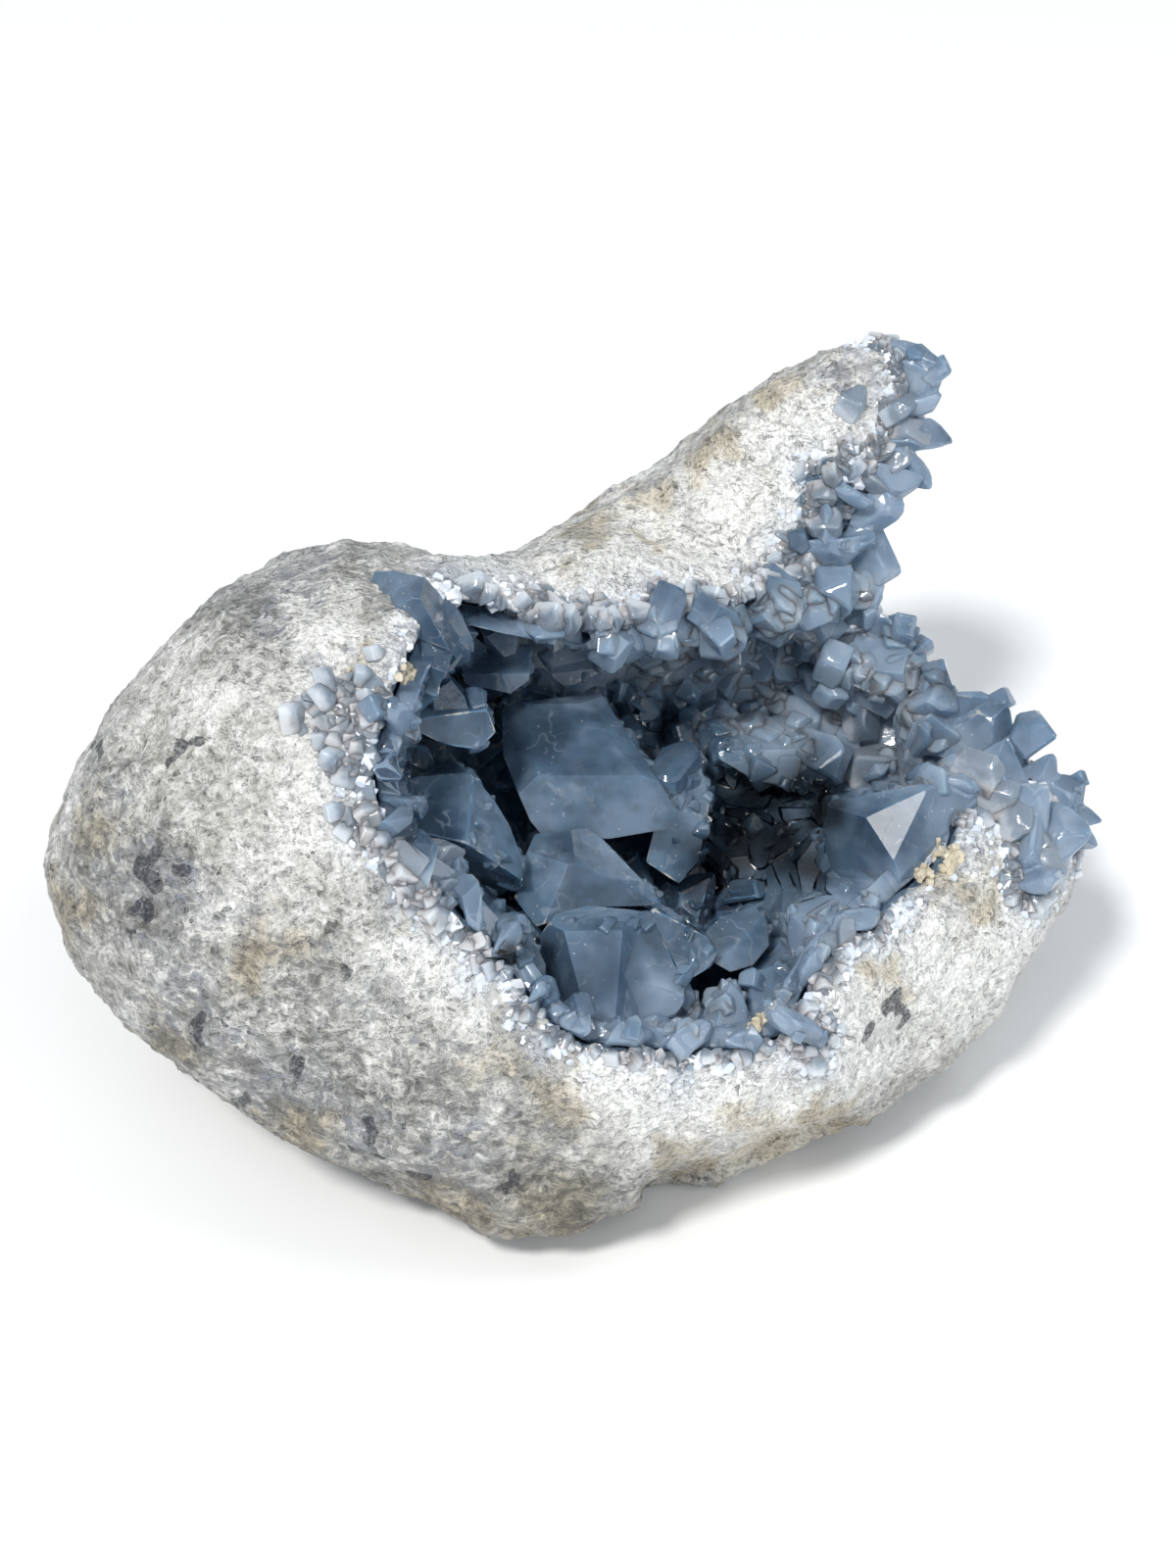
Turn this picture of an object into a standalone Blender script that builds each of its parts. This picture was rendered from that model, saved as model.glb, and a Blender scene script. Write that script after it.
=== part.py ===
"""Celestite geode: a lumpy grey-white nodule, broken open at the front, with a crust of blue crystals."""

import math
import random

import bmesh
import bpy
from mathutils import Euler, Matrix, Vector
from mathutils.bvhtree import BVHTree

MM = 0.001

# The broken side is laid out on a plane square to one line of sight, which looks down at it at this angle
SIGHT_TILT = math.radians(38.0)
SIGHT_TARGET = Vector((0.0, 0.0, 50.0))
SIGHT_DISTANCE = 420.0
RIGHT = Vector((1.0, 0.0, 0.0))
UP = Vector((0.0, math.sin(SIGHT_TILT), math.cos(SIGHT_TILT)))
BACK = Vector((0.0, -math.cos(SIGHT_TILT), math.sin(SIGHT_TILT)))

# Lumps of the nodule: centre, radii and turn about X, Y and Z, in millimetres and degrees
LUMPS = {
    "dome": ((-37, -6, 46), (48, 48, 46), (0, 0, 0)),
    "belly": ((-8, -16, 33), (62, 45, 32), (0, 0, 0)),
    "back": ((-4, 24, 39), (56, 40, 40), (0, 0, 0)),
    "right_end": ((38, 12, 30), (44, 46, 28), (0, 0, 0)),
    "back_right": ((36, 38, 34), (36, 30, 34), (0, 0, 0)),
    "wing": ((24, 50, 66), (53, 16, 42), (-20, -22, 0)),
    "ledge": ((14, -22, 15), (46, 34, 15), (0, 0, 0)),
    "foot": ((-8, -28, 15), (34, 32, 18), (0, 0, 0)),
    "seat": ((-6, 4, 23), (56, 48, 26), (0, 0, 0)),
}
HOLLOWS = {
    "middle": ((20, 8, 46), (40, 28, 22), (0, 0, 0)),
    "right": ((44, 12, 52), (28, 24, 22), (0, 0, 0)),
    "left": ((-14, -4, 50), (22, 20, 20), (0, 0, 0)),
}

# Right and up of the line of sight, in millimetres
OUTLINE = (
    (-84, -12), (-82.5, -5.5), (-79.5, 2), (-74.5, 10.5), (-66.5, 20), (-56.5, 29), (-48.5, 34),
    (-41, 36), (-32.5, 37.5), (-26, 36.5), (-22, 33.5), (-15, 34), (-10.5, 35), (-4.5, 39.5), (6, 46),
    (15, 52.5), (27, 61), (35, 66.5), (41, 69.5), (46.5, 69), (49, 64), (51, 58.5), (50.5, 53),
    (46, 47), (42.5, 42.5), (40.5, 36.5), (40.5, 30.5), (45.5, 22.5), (49, 14.5), (58.5, 9), (65, 4),
    (71, -3), (75, -9), (77, -13.5), (72, -21), (66, -30.5), (59, -39.5), (50, -47.5), (40.5, -53),
    (32.5, -57.5), (24, -60.5), (14.5, -63.5), (10, -63), (5, -66.5), (-1.5, -69), (-10.5, -70),
    (-18, -68), (-26, -63.5), (-37.5, -59.5), (-46, -55), (-58, -47.5), (-67, -40.5), (-73.5, -34),
    (-79, -27), (-82.5, -19),
)
MOUTH = (
    (-24, 29), (-26.5, 22.5), (-29.5, 16.5), (-31, 10.5), (-34, 4), (-32.5, -4.5), (-29.5, -12),
    (-22, -17), (-18.5, -21), (-14, -26.5), (-10, -32), (-6.5, -37), (0, -40.5), (12, -41.5),
    (24, -41.5), (31, -39), (33.5, -32), (39.5, -25), (49, -19), (57, -13.5), (60, -7), (58, 0),
    (50, 10), (43, 19), (37, 27), (34, 32), (30, 30), (21, 26), (6, 24), (-6, 25), (-15, 27.5),
)
# A flat step under the front of the rim, as seen, and how deep it is
STEP = ((8, -60), (15, -57), (22, -54.5), (30, -53), (37, -51.5), (42, -52), (48, -60), (30, -72), (8, -74))
STEP_DEPTH = 4
# The mouth narrows with depth: distance toward the viewer, and size about a point near its upper edge
MOUTH_STEPS = ((60, 1.0), (30, 1.0), (10, 0.95), (-5, 0.88), (-15, 0.8), (-24, 0.66))
MOUTH_CENTRE = (20, 28)

# Grain that the lumps are fused at, rounds of wear, and the share of triangles that is kept
BODY_GRAIN = 2.6
BODY_WEAR = 25
BODY_SHARE = 0.075
HOLLOW_GRAIN = 2
HOLLOW_WEAR = 6
HOLLOW_SHARE = 0.02
# Depths between which the outline is drawn out, and the step's
OUTLINE_REACH = (120, -160)
STEP_REACH = (105, 0)
LUMP_SIZE, LUMP_DEPTH = 26, 5
KNOB_SIZE, KNOB_DEPTH = 9, 2.2
CRUST_GAP = 0.35
CRUST_DEPTH = 3.5
LINING_SETBACK = 3
RAGGED_SIZE, RAGGED_DEPTH = 12, 5
# Half the width and the height of the block that cuts the nodule off where it rests
BASE_CUT = (150, 60)

ROCK_LOOK = {"Base Color": (0.60, 0.58, 0.55, 1), "Roughness": 0.9, "Metallic": 0.0}
CRYSTAL_LOOK = {
    "Base Color": (0.30, 0.43, 0.56, 1),
    "Roughness": 0.1,
    "Metallic": 0.0,
    "Transmission Weight": 0.7,
    "IOR": 1.62,
}

# How much smaller a large crystal gets for each millimetre back, and the length cut off at its front
CRYSTAL_TAPER = 0.004
SPARE = 10
# A small crystal's thickness for its width, the slopes of the two faces of its end, the place and the
# slope of its cut corners, and the slope and the height of the face that cuts its end across
CHISEL_FLAT = (0.55, 0.95)
CHISEL_END = (38, 58)
CHISEL_CORNER = (0.5, 0.75)
CHISEL_CORNER_SLOPE = (0.6, 1.2)
CHISEL_SIDE = (25, 50)
CHISEL_SIDE_HEIGHT = (0.8, 0.92)

# Large crystals. Outline right and up of the line of sight, then the faces that cut its front, each by three
# points (right, up, toward the viewer), how far forward all of it stands and how far it reaches back.
CRYSTALS = {
    "great": (
        (
            (-13.6, 12.7), (2, 14.7), (14.1, -4.7), (13.2, -6.8), (3.3, -8.5), (-7.1, -7.9), (-8.9, -5.8),
            (-13.3, 4.5),
        ),
        (
            ((-9.8, 12.4, -8), (2, 12.4, -8), (-1, 2, 0)),
            ((-8.5, 1.2, 0.5), (9.5, 1.2, 0.5), (1, -8, -1.5)),
            ((-9.8, 12.4, -8), (2, 12.4, -8), (-6, 14, -13)),
            ((-1.2, 12.1, -7.8), (9.4, 0.9, 0.5), (6, 8.3, -7)),
            ((-9.8, 12.4, -8), (-9.4, 0, 0), (-12.9, 8.3, -8)),
        ),
        8,
        42,
    ),
    "under_great": (
        (
            (-10.2, -12.1), (-8.3, -7.6), (0, -6.6), (2, -8), (11.4, -17.9), (11.4, -18.8), (0, -19),
            (-7.9, -22.1), (-11.5, -17.6),
        ),
        (
            ((-9.8, -10.3, 2), (-2, -12.3, 5), (0, -6.8, -1)),
            ((-2, -12.3, 5), (7.6, -16.7, 4), (8, -12, -2)),
            ((-9.8, -10.3, 2), (-3, -12.3, 5), (-5.7, -18.9, 6)),
            ((-3, -12.3, 5), (-5.7, -18.9, 6), (9, -18.5, 4)),
        ),
        10,
        44,
    ),
    "blocky": (
        (
            (-7.8, -23.5), (-5.3, -20), (0, -18.5), (8.3, -19.4), (9.5, -22), (9.2, -28.8), (6.8, -39),
            (3, -37.9), (-4.2, -33), (-7.1, -27),
        ),
        (
            ((-5.3, -20.5, 6), (8.3, -20.2, 6), (2, -23, 11)),
            ((-3.5, -23.5, 10.5), (8, -23, 10.5), (3, -36, 13)),
            ((-6.5, -23.5, 7), (-3.5, -23.5, 10.5), (-3.2, -32, 10)),
            ((6.5, -22, 9), (6, -36, 11), (9.4, -25, 6)),
        ),
        16,
        45,
    ),
    "pale_block": (
        ((6, -21.5), (9.9, -19.8), (14.7, -31), (15.1, -33.5), (13.5, -36), (7.5, -37.5), (5.5, -31.5)),
        (
            ((9.7, -20.5, 6), (14.7, -31.5, 8), (8, -30, 10)),
            ((8, -31, 10), (14.5, -32.5, 8.5), (9.5, -36.5, 8)),
        ),
        16,
        40,
    ),
    "bright_edge": (
        ((9.5, -19.5), (11, -18.8), (18.3, -23), (19.7, -26.3), (19.2, -28.2), (14.9, -30.7)),
        (
            ((9.7, -19.6, 6), (14.9, -30.6, 8), (16, -24, 5)),
            ((11, -19.6, 5), (18.3, -23.6, 4), (17.5, -22, -1)),
        ),
        16,
        40,
    ),
    "dark_left": (
        (
            (-33, -2.5), (-30.3, 0), (-25.2, 2), (-21.5, 4.4), (-18, 1.8), (-14.4, -2.3), (-12.1, -6.1),
            (-9.9, -11.7), (-9.9, -15), (-15.4, -19.7), (-20, -15), (-30, -8),
        ),
        (
            ((-30.3, -0.5, 2), (-18.2, 0.5, 3), (-23, -8, 9)),
            ((-18.1, 1.3, 3), (-16.4, -8, 6.5), (-11, -8.5, -1)),
            ((-20, -9.5, 8.5), (-15.5, -11.5, 7), (-11.5, -14.5, 2)),
            ((-27, 1.5, 0), (-19, 2.5, 0), (-22, 0.5, 4)),
        ),
        18,
        44,
    ),
    "mirror": (
        (
            (36.8, -2.7), (51.5, 0.3), (61, -0.7), (60.3, -4.6), (59, -11.5), (54.5, -13.5), (48.6, -14.7),
            (48.1, -16.2), (35.8, -14.2),
        ),
        (
            ((43, -5.2, 12), (48.2, -13.3, 14), (36.8, -8, 5)),
            ((43, -5.2, 12), (52.1, -1, 9), (48.2, -13.3, 14)),
            ((37, -3, 6), (43, -5.2, 12), (52, -1, 9)),
            ((52.4, -1.2, 9), (52.6, -10, 10.5), (60.5, -3, 5)),
            ((48.2, -13.3, 14), (52.6, -10, 10.5), (54, -13, 8)),
        ),
        0,
        40,
    ),
    "round_front": (
        (
            (30.6, -22), (31.5, -18.5), (36, -17), (39.5, -17), (43, -19.5),
            (42.7, -22.5), (40.6, -28), (32.6, -27.8), (31, -25.8),
        ),
        (
            ((31.5, -19.5, 8), (40, -18, 8), (37, -21.5, 12)),
            ((33, -21.5, 12), (41, -21, 12), (36, -27, 14)),
            ((31, -21, 9), (33.5, -21.5, 12), (33, -27, 11)),
        ),
        11,
        36,
    ),
    "round_above": (
        (
            (36.4, -16.4), (37.1, -14.1), (39.4, -12.6), (41.7, -12.9),
            (44.5, -15), (45.2, -16.8), (43.9, -19), (41, -18.5),
        ),
        (
            ((37, -15.5, 7), (43.5, -15.5, 7), (41, -17.5, 10)),
            ((37.5, -14, 4), (43, -14.3, 4), (40, -15.3, 8)),
        ),
        8,
        36,
    ),
    "pyramid": (
        ((22, -30.3), (23.8, -32), (25, -35.6), (23.8, -39), (18.2, -37.1), (17.4, -36.1), (19.4, -31.8)),
        (
            ((22, -30.6, 6), (19.5, -37, 12), (17.8, -35.5, 7)),
            ((22, -30.6, 6), (20.5, -37.5, 12), (24.5, -35.5, 8)),
        ),
        18,
        36,
    ),
    "dark_front": (
        (
            (17.6, -23.5), (20.5, -20.5), (25.8, -18.9), (27.7, -21.2),
            (28, -25), (25.5, -28), (22, -29), (18.5, -27),
        ),
        (
            ((18.5, -22, 0), (26, -20, 0), (23, -25, 4)),
            ((22, -24.5, 4), (27.5, -23, 1), (24, -28, 4)),
        ),
        12,
        36,
    ),
    "dome_side": (
        ((-28, 34), (-20.2, 27.3), (-17.6, 22.3), (-20.8, 17.6), (-26.5, 14.3), (-28.6, 18.8), (-27.5, 26)),
        (
            ((-27, 31, 6), (-21, 26, 6), (-24, 22, 9)),
            ((-21, 26, 6), (-24, 22, 9), (-21.5, 18, 6)),
            ((-24.5, 22, 9), (-21.5, 17.5, 6), (-27.5, 16, 8)),
        ),
        21,
        40,
    ),
    "shade_left": (
        ((-20.8, 21), (-14, 22), (-8.6, 21), (-9.2, 16), (-12, 14), (-19, 15.5)),
        (
            ((-19.5, 20, -12), (-9, 20, -12), (-14, 17, -8)),
            ((-18, 17, -8), (-10, 17, -8), (-14, 14.5, -9)),
        ),
        16,
        36,
    ),
    "grey_left": (
        ((-29, 13), (-25.5, 12), (-21, 14.5), (-16.5, 14.2), (-14.2, 8), (-17, 5.3), (-22, 6), (-28, 9)),
        (
            ((-27, 12, 0), (-17.5, 13.5, -2), (-21, 10, 3)),
            ((-25, 10, 2.5), (-15.5, 9.5, 1), (-20, 6.5, 2)),
        ),
        22,
        40,
    ),
    "rim_left": (
        ((-34.5, 15), (-29.5, 14.5), (-27.2, 11.5), (-28, 9), (-31.5, 7), (-36.5, 2.5), (-38, 9)),
        (
            ((-34, 14, 14), (-28.5, 12, 11), (-34, 5, 15)),
        ),
        26,
        40,
    ),
    "rim_left_low": (
        ((-41, -1), (-36.5, 0), (-31.5, -2), (-30.5, -6), (-35, -6.5), (-41, -4.5)),
        (
            ((-40, -2, 22), (-32, -2, 18), (-36, -5.5, 21)),
            ((-40, -0.6, 18), (-33, -0.6, 15), (-36, -2.5, 21.5)),
        ),
        23,
        40,
    ),
    "rim_cloud": (
        ((-31, -9), (-25, -9), (-19, -12.5), (-18.5, -17), (-24, -19), (-30, -16)),
        (
            ((-30, -10, 22), (-20, -12.5, 18), (-25, -17.5, 24)),
        ),
        21,
        40,
    ),
    "dark_low": (
        ((-16, -21.5), (-9.5, -21.5), (-6.5, -28), (-7, -33), (-11, -31), (-15, -25.5)),
        (
            ((-15, -22.5, 6), (-9.5, -22.5, 4), (-9.5, -30, 9)),
        ),
        22,
        40,
    ),
    "back_shelf": (
        ((36, 24), (46, 23), (52.5, 20), (52, 15.5), (45, 13.6), (37, 17)),
        (
            ((37, 22, -24), (50, 20, -24), (44, 17.5, -19)),
            ((40, 18, -19.5), (51.5, 17.5, -20), (45, 14.5, -19)),
        ),
        4,
        15,
    ),
    "ceiling": (
        ((20, 10), (34, 11), (36.5, 4), (34, -1), (26, 0.5), (20, 4)),
        (
            ((21, 9, -24), (34, 9.5, -24), (27, 5, -18)),
            ((22, 5, -18.5), (35, 5, -18.5), (29, 0.5, -18)),
        ),
        0,
        24,
    ),
    "behind_great": (
        ((13.5, 3), (17, 4.5), (19, -2), (17.5, -12), (14, -15.5), (9, -12), (11, -4)),
        (
            ((14, 3, -12), (18, -3, -12), (14, -6, -8)),
            ((13, -4, -8.5), (17.5, -9, -11), (11, -13, -8)),
        ),
        6,
        34,
    ),
}

# Crystals of the rim, each a small chisel: right, up and toward the viewer of its foot, its width and the
# direction in which it stands, right and up
RIM = (
    (38, 31, -18, 8, 0.9, 0.1), (41, 28.5, -20, 8, 0.8, 0.5), (44, 24, -20, 8, 0.9, 0.3),
    (46, 20.5, -20, 8, 0.9, 0.4), (48.5, 16, -20, 8, 0.8, 0.6), (52.5, 12.5, -18, 8, 0.5, 0.9),
    (57, 10, -17, 8, 0.6, 0.8), (61, 7, -15, 8, 0.8, 0.6), (65, 3.5, -13, 8, 0.8, 0.6),
    (68, 0, -11, 8, 0.8, 0.5), (71, -4, -9, 9, 0.9, 0.4), (72, -6, -8, 9, 1, 0.2),
    (73, -8, -7, 8, 1, 0.1), (74, -12, -3, 8, 1, -0.2), (37, 35, -15, 8, 0.9, 0),
    (39.5, 39, -15, 8, 0.9, -0.2), (42, 43, -14, 9, 0.9, -0.4), (44, 47, -14, 9, 0.9, -0.4),
    (47, 50, -14, 9, 1, -0.3), (48, 55, -14, 9, 1, 0), (48.5, 58, -14, 9, 1, 0.1),
    (49, 61, -14, 9, 1, 0.2), (48, 64, -14, 9, 0.8, 0.3), (40, 46, -12, 7, 0.7, -0.6),
    (36, 41, -12, 7, 0.5, -0.6), (62, -1, 2, 10, 0.2, 0.4), (66, -5, 2, 10, 0.3, 0.2),
    (70, -9, 2, 10, 0.4, 0), (67, -9.5, 4, 9, 0.2, -0.2), (69, -14, 6, 9, 0.4, -0.2),
)
# A chisel's length for its width, and the share of its length that stands clear of its foot
RIM_LENGTH, RIM_CLEAR = 1.6, 0.5
RIM_TOWARD = (0.2, 0.9)
LIP_LENGTH, LIP_CLEAR = (1.3, 1.8), 0.4
WALL_LENGTH, WALL_CLEAR = (1.2, 1.7), 0.72
RIM_SEED, LIP_SEED, SHOWN_SEED, WALL_SEED = 3, 5, 4, 7
SCATTER_SPACING = 20
SCATTER_WIDTH = (8, 14)
# Crystals of the wall that the mouth shows: pitch as seen, width, and how far each leans toward the mouth
SHOWN_PITCH = 9
SHOWN_SHAKE = (0.1, 0.9)
SHOWN_WIDTH = (6, 11)
SHOWN_LEAN = (0.2, 0.9)
SHOWN_FROM = 50
# Least rock behind a crystal of the wall, and its greatest width there and for each millimetre more
SCATTER_ROOM = 1.5
SCATTER_THIN, SCATTER_DEEP = 4, 0.5
SCATTER_LEAN = 0.45
LIP_SPACING = 9
LIP_WIDTH = (5, 8)
LIP_SINK = 1.5
LIP_INWARD = (0.1, 0.9)
LIP_UP = (-0.3, 0.5)
# Corners of the mouth's outline that carry crystals of the lip: none at the top left, or where the
# crystal "mirror" stands
LIP_CORNERS = (*range(3, 18), *range(21, len(MOUTH) - 1))


def clear_scene():
    for old in list(bpy.data.objects):
        bpy.data.objects.remove(old)


def collection(name):
    made = bpy.data.collections.new(name)
    bpy.context.scene.collection.children.link(made)
    return made


def new_object(name, bm, where):
    mesh = bpy.data.meshes.new(name)
    bm.to_mesh(mesh)
    bm.free()
    made = bpy.data.objects.new(name, mesh)
    where.objects.link(made)
    return made


def settle(obj):
    """Replaces the mesh of an object by what its modifiers make of it."""
    bpy.context.view_layer.update()
    graph = bpy.context.evaluated_depsgraph_get()
    mesh = bpy.data.meshes.new_from_object(obj.evaluated_get(graph))
    obj.modifiers.clear()
    obj.data = mesh


def copy_of(obj, name, where):
    made = bpy.data.objects.new(name, obj.data.copy())
    where.objects.link(made)
    return made


def ellipsoids(name, table, where):
    bm = bmesh.new()
    for centre, radii, turn in table.values():
        place = (
            Matrix.Translation(Vector(centre) * MM)
            @ Euler([math.radians(a) for a in turn]).to_matrix().to_4x4()
            @ Matrix.Diagonal(Vector(radii) * MM).to_4x4()
        )
        bmesh.ops.create_icosphere(bm, subdivisions=4, radius=1.0, matrix=place)
    return new_object(name, bm, where)


def fuse(obj, grain, wear=0):
    remesh = obj.modifiers.new("fuse", "REMESH")
    remesh.mode = "VOXEL"
    remesh.voxel_size = grain * MM
    if wear:
        smooth = obj.modifiers.new("wear", "SMOOTH")
        smooth.factor = 0.5
        smooth.iterations = wear


def boolean(obj, name, other, operation):
    cut = obj.modifiers.new(name, "BOOLEAN")
    cut.operation = operation
    cut.solver = "MANIFOLD"
    cut.object = other


def displace(obj, name, size, depth):
    texture = bpy.data.textures.new(name, "CLOUDS")
    texture.noise_scale = size * MM
    bump = obj.modifiers.new(name, "DISPLACE")
    bump.texture = texture
    bump.strength = depth * MM


def swell(obj, depth):
    bump = obj.modifiers.new("swell", "DISPLACE")
    bump.strength = depth * MM
    bump.mid_level = 0


def thin_out(obj, share):
    thin = obj.modifiers.new("thin", "DECIMATE")
    thin.ratio = share


def sight_point(x, y, toward):
    """A point right and up of the target as seen, moved toward the viewer along its own line of sight."""
    spread = (SIGHT_DISTANCE - toward) / SIGHT_DISTANCE
    return (SIGHT_TARGET + RIGHT * x * spread + UP * y * spread + BACK * toward) * MM


def seen_prism(outline, steps, centre):
    """An outline of the view plane drawn out along its lines of sight, with a size at each depth."""
    bm = bmesh.new()
    rings = []
    for depth, size in steps:
        corners = [[c + (p - c) * size for p, c in zip(corner, centre)] for corner in outline]
        rings.append([bm.verts.new(sight_point(x, y, depth)) for x, y in corners])
    count = len(outline)
    for ring, following in zip(rings, rings[1:]):
        for i in range(count):
            j = (i + 1) % count
            bm.faces.new((ring[i], ring[j], following[j], following[i]))
    bm.faces.new(rings[0])
    bm.faces.new(rings[-1])
    bmesh.ops.recalc_face_normals(bm, faces=bm.faces)
    return bm


def facet(bm, point, normal):
    """Cuts away what lies beyond a plane and closes the cut with one flat face."""
    geometry = bm.verts[:] + bm.edges[:] + bm.faces[:]
    cut = bmesh.ops.bisect_plane(
        bm, geom=geometry, dist=1e-7, plane_co=point, plane_no=normal, clear_outer=True
    )
    edges = [item for item in cut["geom_cut"] if isinstance(item, bmesh.types.BMEdge)]
    if len(edges) > 2:
        bmesh.ops.edgeloop_fill(bm, edges=edges)


def large_crystal(outline, faces, forward, reach):
    centre = [sum(c[i] for c in outline) / len(outline) for i in (0, 1)]
    front = forward + max(point[2] for face in faces for point in face)
    steps = (
        (front + SPARE, 1 + SPARE * CRYSTAL_TAPER),
        (front - reach, 1 - (reach - SPARE) * CRYSTAL_TAPER),
    )
    bm = seen_prism(outline, steps, centre)
    for face in faces:
        a, b, c = [sight_point(x, y, forward + toward) for x, y, toward in face]
        normal = (b - a).cross(c - a).normalized()
        if normal.dot(BACK) < 0:
            normal.negate()
        facet(bm, a, normal)
    bmesh.ops.recalc_face_normals(bm, faces=bm.faces)
    return bm


def chisel(chance, width, length):
    """A prism with cut corners and a chisel end, standing on the origin along Z."""
    flat = chance.uniform(*CHISEL_FLAT)
    bm = bmesh.new()
    size = Vector((width, width * flat, length)) * MM
    place = Matrix.Translation((0, 0, length * MM / 2)) @ Matrix.Diagonal(size).to_4x4()
    bmesh.ops.create_cube(bm, size=1.0, matrix=place)
    top = Vector((0, 0, length * MM))
    for side in (-1, 1):
        lean = math.radians(chance.uniform(*CHISEL_END))
        facet(bm, top, Vector((side * math.sin(lean), 0, math.cos(lean))))
    corner = Vector((width * MM / 2, 0, 0)) * chance.uniform(*CHISEL_CORNER)
    for side in (-1, 1):
        slope = chance.uniform(*CHISEL_CORNER_SLOPE)
        facet(bm, corner * side, Vector((side, side * slope, 0)).normalized())
    slope = math.radians(chance.uniform(*CHISEL_SIDE))
    facet(bm, top * chance.uniform(*CHISEL_SIDE_HEIGHT), Vector((0, math.sin(slope), math.cos(slope))))
    bmesh.ops.recalc_face_normals(bm, faces=bm.faces)
    return bm


def stand(bm, tip, axis, length, spin):
    """Moves a chisel so that its tip is at this point and it stands along this axis."""
    turn = axis.to_track_quat("Z", "Y").to_matrix().to_4x4() @ Matrix.Rotation(spin, 4, "Z")
    bmesh.ops.transform(bm, matrix=Matrix.Translation(tip - axis * length * MM) @ turn, verts=bm.verts)


def block(low, high):
    bm = bmesh.new()
    size = Vector(high) - Vector(low)
    centre = (Vector(high) + Vector(low)) / 2
    place = Matrix.Translation(centre * MM) @ Matrix.Diagonal(size * MM).to_4x4()
    bmesh.ops.create_cube(bm, size=1.0, matrix=place)
    return bm


def build_nodule(helpers):
    """The nodule before it broke open."""
    nodule = ellipsoids("nodule", LUMPS, helpers)
    outline = seen_prism(OUTLINE, [(depth, 1.0) for depth in OUTLINE_REACH], (0, 0))
    trim = new_object("outline", outline, helpers)
    fuse(nodule, BODY_GRAIN)
    boolean(nodule, "trim", trim, "INTERSECT")
    fuse(nodule, BODY_GRAIN, BODY_WEAR)
    displace(nodule, "lumps", LUMP_SIZE, LUMP_DEPTH)
    displace(nodule, "knobs", KNOB_SIZE, KNOB_DEPTH)
    thin_out(nodule, BODY_SHARE)
    settle(nodule)
    core = copy_of(nodule, "core", helpers)
    swell(core, -STEP_DEPTH)
    settle(core)
    step = new_object("step", seen_prism(STEP, [(depth, 1.0) for depth in STEP_REACH], (0, 0)), helpers)
    boolean(step, "core", core, "DIFFERENCE")
    boolean(nodule, "step", step, "DIFFERENCE")
    settle(nodule)
    return nodule


def build_hollow(helpers):
    hollow = ellipsoids("hollow", HOLLOWS, helpers)
    mouth = new_object("mouth", seen_prism(MOUTH, MOUTH_STEPS, MOUTH_CENTRE), helpers)
    fuse(hollow, BODY_GRAIN)
    boolean(hollow, "mouth", mouth, "UNION")
    fuse(hollow, HOLLOW_GRAIN, HOLLOW_WEAR)
    settle(hollow)
    return hollow


def lip_spots(surface):
    """Points evenly along the lip of the mouth, just under the surface, with the way out of the rock."""
    eye = sight_point(0, 0, SIGHT_DISTANCE)
    walked = 0.0
    spots = []
    for i in LIP_CORNERS:
        start = Vector(MOUTH[i])
        side = Vector(MOUTH[i + 1]) - start
        while walked < side.length:
            corner = start + side.normalized() * walked
            inward = (Vector((-side.y, side.x))).normalized()
            corner = corner + inward * LIP_SINK
            hit = surface.ray_cast(eye, (sight_point(corner.x, corner.y, 0) - eye).normalized())[0]
            if hit is not None:
                spots.append((hit - BACK * LIP_SINK * MM, RIGHT * inward.x + UP * inward.y))
            walked += LIP_SPACING
        walked -= side.length
    return spots


def rim_crystals(chance, surface, where):
    for i, (x, y, toward, width, right, up) in enumerate(RIM):
        length = width * RIM_LENGTH
        bm = chisel(chance, width, length)
        foot = surface.find_nearest(sight_point(x, y, toward))[0]
        axis = (RIGHT * right + UP * up + BACK * chance.uniform(*RIM_TOWARD)).normalized()
        stand(bm, foot + axis * length * RIM_CLEAR * MM, axis, length, chance.uniform(0, math.tau))
        new_object(f"rim_{i}", bm, where)


def lip_crystals(chance, surface, where):
    for i, (spot, inward) in enumerate(lip_spots(surface)):
        width = chance.uniform(*LIP_WIDTH)
        length = width * chance.uniform(*LIP_LENGTH)
        axis = BACK + inward * chance.uniform(*LIP_INWARD) + UP * chance.uniform(*LIP_UP)
        axis.normalize()
        bm = chisel(chance, width, length)
        stand(bm, spot + axis * length * LIP_CLEAR * MM, axis, length, chance.uniform(0, math.tau))
        new_object(f"lip_{i}", bm, where)


def within_outline(outline, x, y):
    """Whether a point lies inside an outline, by the sides that a line from it to the right crosses."""
    inside = False
    for (x0, y0), (x1, y1) in zip(outline, outline[1:] + outline[:1]):
        if (y0 > y) != (y1 > y) and x < x0 + (y - y0) * (x1 - x0) / (y1 - y0):
            inside = not inside
    return inside


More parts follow.
